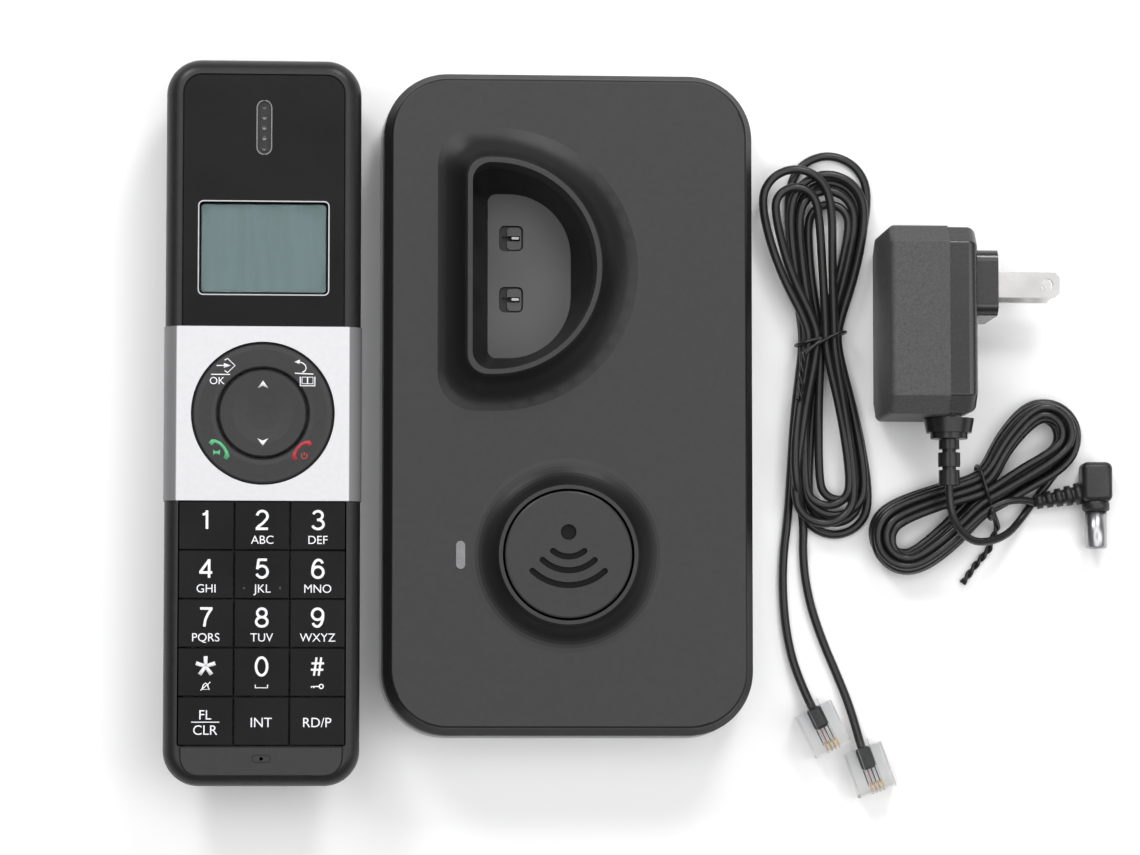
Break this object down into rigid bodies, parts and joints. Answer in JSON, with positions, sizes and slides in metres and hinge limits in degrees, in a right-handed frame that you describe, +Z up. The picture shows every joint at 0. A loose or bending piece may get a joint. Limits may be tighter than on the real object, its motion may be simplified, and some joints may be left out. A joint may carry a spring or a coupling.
{
  "type": "cordless phone with base",
  "caption": "Cordless phone handset lying beside its charging base, with a mains adapter and a hanked line cord.",
  "frame": {"origin": "on the table under the middle of the handset, base and adapter together", "axes": "+X from the handset across the base to the adapter, +Y towards the earpiece end, +Z up from the table"},
  "size_m": [0.2408, 0.1834, 0.034],
  "materials": {
    "handset_plastic": "satin black moulding",
    "silver_plastic": "bright silver paint on a moulding",
    "silver_plastic_base": "silver satin moulding",
    "gloss_black": "gloss black",
    "grille_plastic": "dark grey gloss",
    "chin_plastic": "dark grey satin",
    "lcd_glass": "clear window",
    "lcd_panel": "grey-green display",
    "circuit_board": "green solder mask",
    "elastomer": "silicone",
    "ring_plastic": "charcoal satin",
    "key_gloss": "gloss black with pale legends",
    "speaker_metal": "plated",
    "battery_wrap": "printed sleeve",
    "nickel": "nickel plate",
    "steel_screw": "zinc plated",
    "base_plastic": "charcoal satin with fine grain",
    "base_button_plastic": "charcoal satin",
    "rubber_foot": "matt",
    "light_pipe": "frosted lens",
    "contact_plastic": "matt black",
    "jack_plastic": "black",
    "adapter_plastic": "textured dark grey",
    "adapter_gloss": "gloss black",
    "cord_black": "satin black jacket",
    "lead_black": "satin black jacket",
    "plug_black": "satin black moulding",
    "clear_plastic": "clear polycarbonate",
    "tie_plastic": "plastic coated wire",
    "legend_white": "white screen print",
    "legend_green": "green screen print",
    "legend_red": "red screen print",
    "gold_plate": "gold plated contact"
  },
  "bodies": {
    "base": {"base_top_shell": "base_plastic", "base_bottom_shell": "silver_plastic_base", "base_feet": "rubber_foot", "base_screws": "steel_screw", "base_circuit_board": "circuit_board", "status_light_pipe": "light_pipe", "contact_block": "contact_plastic", "line_jack": "jack_plastic", "power_jack": "jack_plastic", "adapter_case": "adapter_plastic", "adapter_cover": "adapter_gloss", "adapter_blades": "nickel", "adapter_board": "circuit_board", "adapter_strain_relief": "cord_black", "line_cord_hank": "cord_black", "line_cord_tail_a": "cord_black", "line_cord_tail_b": "cord_black", "line_plugs": "clear_plastic", "lead_hank": "lead_black", "lead_start": "lead_black", "dc_plug": "plug_black", "cord_ties": "tie_plastic"},
    "handset": {"handset_front_shell": "handset_plastic", "handset_back_shell": "handset_plastic", "handset_screws": "steel_screw", "silver_band": "silver_plastic", "face_plate": "gloss_black", "earpiece_grille": "grille_plastic", "chin_plate": "chin_plastic", "lcd_window": "lcd_glass", "lcd_panel": "lcd_panel", "handset_circuit_board": "circuit_board", "key_mat": "elastomer", "earpiece_speaker": "speaker_metal", "ringer_speaker": "speaker_metal", "batteries": "battery_wrap", "battery_contacts": "nickel", "handset_charge_pads": "nickel"},
    "battery_door": {"battery_door": "handset_plastic"},
    "nav_disc": {"nav_disc": "ring_plastic"},
    "ring_web": {"ring_web": "elastomer"},
    "ring_key": {"ring_key": "ring_plastic"},
    "page_button": {"page_button": "base_button_plastic"},
    "charge_contact_1": {"charge_contact_1": "nickel"},
    "charge_contact_2": {"charge_contact_2": "nickel"},
    "key_1": {"key_1": "key_gloss"},
    "key_2": {"key_2": "key_gloss"},
    "key_3": {"key_3": "key_gloss"},
    "key_4": {"key_4": "key_gloss"},
    "key_5": {"key_5": "key_gloss"},
    "key_6": {"key_6": "key_gloss"},
    "key_7": {"key_7": "key_gloss"},
    "key_8": {"key_8": "key_gloss"},
    "key_9": {"key_9": "key_gloss"},
    "key_star": {"key_star": "key_gloss"},
    "key_0": {"key_0": "key_gloss"},
    "key_hash": {"key_hash": "key_gloss"},
    "key_flash": {"key_flash": "key_gloss"},
    "key_intercom": {"key_intercom": "key_gloss"},
    "key_redial": {"key_redial": "key_gloss"}
  },
  "joints": [
    {"name": "handset_lift", "type": "slide", "parent": "base", "child": "handset", "axis": [0, 0, 1], "range_m": [0, 0.08]},
    {"name": "battery_door_slide", "type": "slide", "parent": "handset", "child": "battery_door", "axis": [0, -1, 0], "range_m": [0, 0.012]},
    {"name": "nav_rock", "type": "hinge", "parent": "handset", "child": "nav_disc", "pos_m": [-0.08785, 0.0017, 0.026], "axis": [1, 0, 0], "range_deg": [-2.5, 2.5], "stiffness_Nm_per_rad": 0.6},
    {"name": "ring_rock_a", "type": "hinge", "parent": "handset", "child": "ring_web", "pos_m": [-0.08785, 0.0017, 0.0238], "axis": [0.7071, 0.7071, 0], "range_deg": [-2, 2], "stiffness_Nm_per_rad": 1.2},
    {"name": "ring_rock_b", "type": "hinge", "parent": "ring_web", "child": "ring_key", "pos_m": [-0.08785, 0.0017, 0.0238], "axis": [0.7071, -0.7071, 0], "range_deg": [-2, 2], "stiffness_Nm_per_rad": 1.2},
    {"name": "page_press", "type": "slide", "parent": "base", "child": "page_button", "axis": [0, 0, -1], "range_m": [0, 0.0012], "stiffness_N_per_m": 900},
    {"name": "press_1", "type": "slide", "parent": "handset", "child": "key_1", "axis": [0, 0, -1], "range_m": [0, 0.0008], "stiffness_N_per_m": 1500},
    {"name": "press_2", "type": "slide", "parent": "handset", "child": "key_2", "axis": [0, 0, -1], "range_m": [0, 0.0008], "stiffness_N_per_m": 1500},
    {"name": "press_3", "type": "slide", "parent": "handset", "child": "key_3", "axis": [0, 0, -1], "range_m": [0, 0.0008], "stiffness_N_per_m": 1500},
    {"name": "press_4", "type": "slide", "parent": "handset", "child": "key_4", "axis": [0, 0, -1], "range_m": [0, 0.0008], "stiffness_N_per_m": 1500},
    {"name": "press_5", "type": "slide", "parent": "handset", "child": "key_5", "axis": [0, 0, -1], "range_m": [0, 0.0008], "stiffness_N_per_m": 1500},
    {"name": "press_6", "type": "slide", "parent": "handset", "child": "key_6", "axis": [0, 0, -1], "range_m": [0, 0.0008], "stiffness_N_per_m": 1500},
    {"name": "press_7", "type": "slide", "parent": "handset", "child": "key_7", "axis": [0, 0, -1], "range_m": [0, 0.0008], "stiffness_N_per_m": 1500},
    {"name": "press_8", "type": "slide", "parent": "handset", "child": "key_8", "axis": [0, 0, -1], "range_m": [0, 0.0008], "stiffness_N_per_m": 1500},
    {"name": "press_9", "type": "slide", "parent": "handset", "child": "key_9", "axis": [0, 0, -1], "range_m": [0, 0.0008], "stiffness_N_per_m": 1500},
    {"name": "press_star", "type": "slide", "parent": "handset", "child": "key_star", "axis": [0, 0, -1], "range_m": [0, 0.0008], "stiffness_N_per_m": 1500},
    {"name": "press_0", "type": "slide", "parent": "handset", "child": "key_0", "axis": [0, 0, -1], "range_m": [0, 0.0008], "stiffness_N_per_m": 1500},
    {"name": "press_hash", "type": "slide", "parent": "handset", "child": "key_hash", "axis": [0, 0, -1], "range_m": [0, 0.0008], "stiffness_N_per_m": 1500},
    {"name": "press_flash", "type": "slide", "parent": "handset", "child": "key_flash", "axis": [0, 0, -1], "range_m": [0, 0.0008], "stiffness_N_per_m": 1500},
    {"name": "press_intercom", "type": "slide", "parent": "handset", "child": "key_intercom", "axis": [0, 0, -1], "range_m": [0, 0.0008], "stiffness_N_per_m": 1500},
    {"name": "press_redial", "type": "slide", "parent": "handset", "child": "key_redial", "axis": [0, 0, -1], "range_m": [0, 0.0008], "stiffness_N_per_m": 1500},
    {"name": "contact_1_press", "type": "slide", "parent": "base", "child": "charge_contact_1", "axis": [0, 0, -1], "range_m": [0, 0.0009], "stiffness_N_per_m": 700},
    {"name": "contact_2_press", "type": "slide", "parent": "base", "child": "charge_contact_2", "axis": [0, 0, -1], "range_m": [0, 0.0009], "stiffness_N_per_m": 700}
  ]
}
